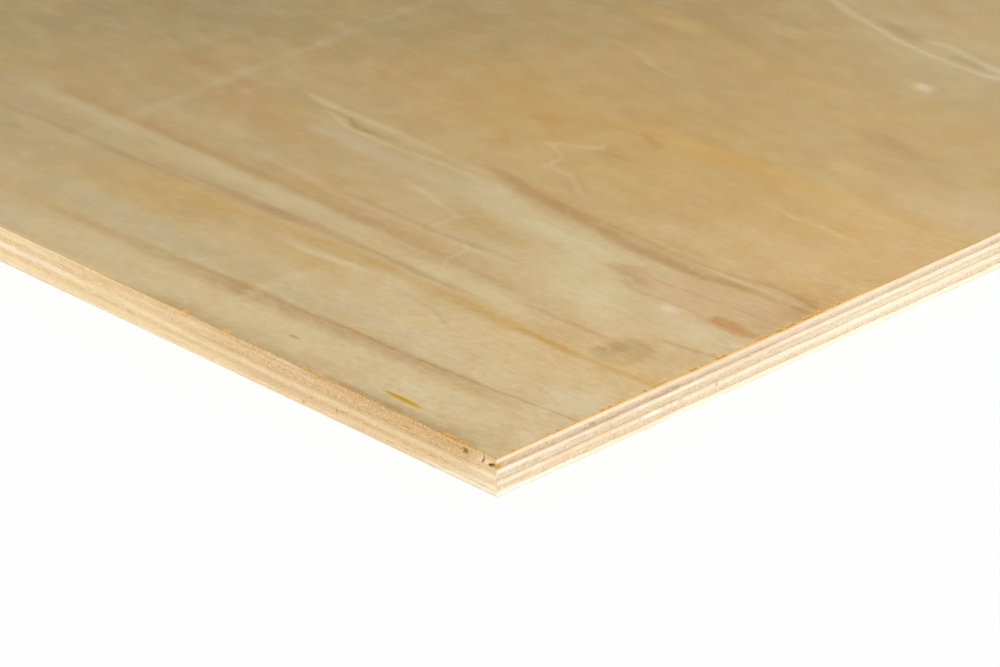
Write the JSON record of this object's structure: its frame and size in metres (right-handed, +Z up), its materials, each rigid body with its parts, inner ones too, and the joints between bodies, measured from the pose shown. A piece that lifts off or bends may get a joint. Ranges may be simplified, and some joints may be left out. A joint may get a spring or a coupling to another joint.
{
  "type": "plywood sheet",
  "caption": "Flat rectangular plywood sheet of thin and thick veneers in crossed layers, with plain sawn edges and a smooth figured face.",
  "frame": {"origin": "middle of the underside, at the centre of the sheet", "axes": "+X along the sheet's length and the face grain, +Y across its width, +Z up out of the face through its thickness"},
  "size_m": [2.44, 1.22, 0.018],
  "materials": {
    "face_veneer_wood": "sanded bare hardwood face veneer",
    "crossband_wood": "sawn edge of cross-grain core veneer",
    "long_core_wood": "sawn edge of long-grain core veneer",
    "back_veneer_wood": "sanded bare hardwood back veneer"
  },
  "bodies": {
    "root": {"face_veneer": "face_veneer_wood", "crossband_2": "crossband_wood", "long_core_3": "long_core_wood", "crossband_4": "crossband_wood", "centre_core_5": "long_core_wood", "crossband_6": "crossband_wood", "long_core_7": "long_core_wood", "crossband_8": "crossband_wood", "back_veneer": "back_veneer_wood"}
  },
  "joints": []
}
